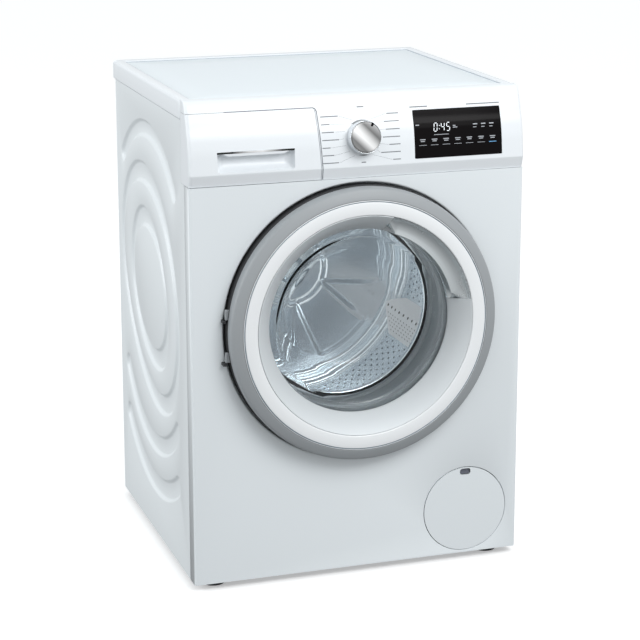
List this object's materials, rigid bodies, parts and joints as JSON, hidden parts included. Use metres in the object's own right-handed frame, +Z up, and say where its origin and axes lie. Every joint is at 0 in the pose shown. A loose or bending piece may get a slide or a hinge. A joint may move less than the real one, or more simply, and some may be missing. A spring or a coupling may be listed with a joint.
{
  "type": "front load washing machine",
  "caption": "Free-standing front-loading washing machine with a glazed porthole door, detergent drawer, programme knob, black display and sprung tub.",
  "frame": {"origin": "on the floor, under the centre of the bounding box", "axes": "+X to the right seen from the front, -Y towards the user in front of the door, +Z up"},
  "size_m": [0.598, 0.59, 0.848],
  "materials": {
    "white_paint": "satin white enamel",
    "white_plastic": "semi-gloss white",
    "grey_plastic": "mid grey",
    "black_plastic": "black",
    "black_glass": "glossy black window",
    "silver": "silver lacquer",
    "clear_glass": "clear",
    "zinc": "galvanised",
    "rubber": "dark grey",
    "tub_plastic": "off-white filled polymer",
    "concrete": "rough cast mineral block",
    "steel": "stainless",
    "aluminium": "cast"
  },
  "bodies": {
    "cabinet": {"base_tray": "grey_plastic", "side_panel_left": "white_paint", "side_panel_right": "white_paint", "rear_panel": "zinc", "rear_cover": "zinc", "front_panel": "white_paint", "top_crossbar": "zinc", "worktop_frame": "white_plastic", "worktop_board": "white_paint", "fascia": "white_plastic", "display_window": "black_glass", "control_module": "grey_plastic", "dispenser_housing": "tub_plastic", "inlet_valve": "grey_plastic", "cord_inlet": "black_plastic", "drain_pump": "grey_plastic", "hinge_bracket": "zinc", "door_lock": "black_plastic", "damper_cylinder_left": "grey_plastic", "damper_cylinder_right": "grey_plastic", "spring_left": "steel", "spring_right": "steel", "door_gasket": "rubber"},
    "foot_front_left": {"foot_1": "black_plastic"},
    "foot_front_right": {"foot_2": "black_plastic"},
    "foot_rear_left": {"foot_3": "black_plastic"},
    "foot_rear_right": {"foot_4": "black_plastic"},
    "program_knob": {"program_knob": "silver"},
    "drawer": {"drawer_front": "white_plastic", "drawer_tray": "white_plastic"},
    "filter_flap": {"filter_flap": "white_plastic"},
    "pump_filter": {"pump_filter": "grey_plastic"},
    "door": {"door_outer_ring": "grey_plastic", "door_face_ring": "white_plastic", "door_inner_cone": "silver", "door_grip": "silver", "door_glass": "clear_glass", "door_back_frame": "grey_plastic", "door_hinge_arm": "zinc"},
    "door_hook": {"door_hook": "zinc"},
    "tub": {"tub_front": "tub_plastic", "tub_rear": "tub_plastic", "counterweight_front": "concrete", "counterweight_top": "concrete", "heater": "steel", "motor": "aluminium", "drive_belt": "rubber", "bearing_front": "steel", "bearing_rear": "steel", "damper_rod_left": "steel", "damper_rod_right": "steel", "sump_hose": "rubber", "dispenser_hose": "rubber"},
    "drum": {"drum": "steel", "drum_paddle_1": "tub_plastic", "drum_paddle_2": "tub_plastic", "drum_paddle_3": "tub_plastic", "drum_spider": "aluminium", "drum_pulley": "aluminium"},
    "motor_rotor": {"motor_pulley": "steel"}
  },
  "joints": [
    {"name": "door_hinge", "type": "hinge", "parent": "cabinet", "child": "door", "pos_m": [-0.244, -0.265, 0.455], "axis": [0, 0, -1], "range_deg": [0, 120]},
    {"name": "door_hook_pivot", "type": "hinge", "parent": "door", "child": "door_hook", "pos_m": [0.212, -0.255, 0.458], "axis": [0, 0, 1], "range_deg": [0, 8], "stiffness_Nm_per_rad": 2},
    {"name": "drawer_slide", "type": "slide", "parent": "cabinet", "child": "drawer", "axis": [0, -1, 0], "range_m": [0, 0.22]},
    {"name": "program_knob_turn", "type": "hinge", "parent": "cabinet", "child": "program_knob", "pos_m": [0.005, -0.2528, 0.776], "axis": [0, -0.9806, 0.196], "continuous": true},
    {"name": "filter_flap_hinge", "type": "hinge", "parent": "cabinet", "child": "filter_flap", "pos_m": [0.1995, -0.2558, 0.0173], "axis": [1, 0, 0], "range_deg": [0, 90]},
    {"name": "pump_filter_turn", "type": "hinge", "parent": "cabinet", "child": "pump_filter", "pos_m": [0.1995, -0.233, 0.096], "axis": [0, 1, 0], "continuous": true},
    {"name": "tub_suspension", "type": "slide", "parent": "cabinet", "child": "tub", "axis": [0, 0, 1], "range_m": [-0.01, 0.01], "stiffness_N_per_m": 30000, "deforming": ["spring_left", "spring_right", "door_gasket", "sump_hose", "dispenser_hose"]},
    {"name": "drum_spin", "type": "hinge", "parent": "tub", "child": "drum", "pos_m": [0, -0.005, 0.458], "axis": [0, 1, 0], "continuous": true},
    {"name": "motor_spin", "type": "hinge", "parent": "tub", "child": "motor_rotor", "pos_m": [-0.05, 0.235, 0.118], "axis": [0, 1, 0], "continuous": true},
    {"name": "foot_front_left_turn", "type": "hinge", "parent": "cabinet", "child": "foot_front_left", "pos_m": [-0.255, -0.215, 0.01], "axis": [0, 0, 1], "continuous": true},
    {"name": "foot_front_right_turn", "type": "hinge", "parent": "cabinet", "child": "foot_front_right", "pos_m": [0.255, -0.215, 0.01], "axis": [0, 0, 1], "continuous": true},
    {"name": "foot_rear_left_turn", "type": "hinge", "parent": "cabinet", "child": "foot_rear_left", "pos_m": [-0.255, 0.243, 0.01], "axis": [0, 0, 1], "continuous": true},
    {"name": "foot_rear_right_turn", "type": "hinge", "parent": "cabinet", "child": "foot_rear_right", "pos_m": [0.255, 0.243, 0.01], "axis": [0, 0, 1], "continuous": true}
  ],
  "couplings": [
    {"joint": "motor_spin", "follows": "drum_spin", "ratio": 13.5}
  ]
}
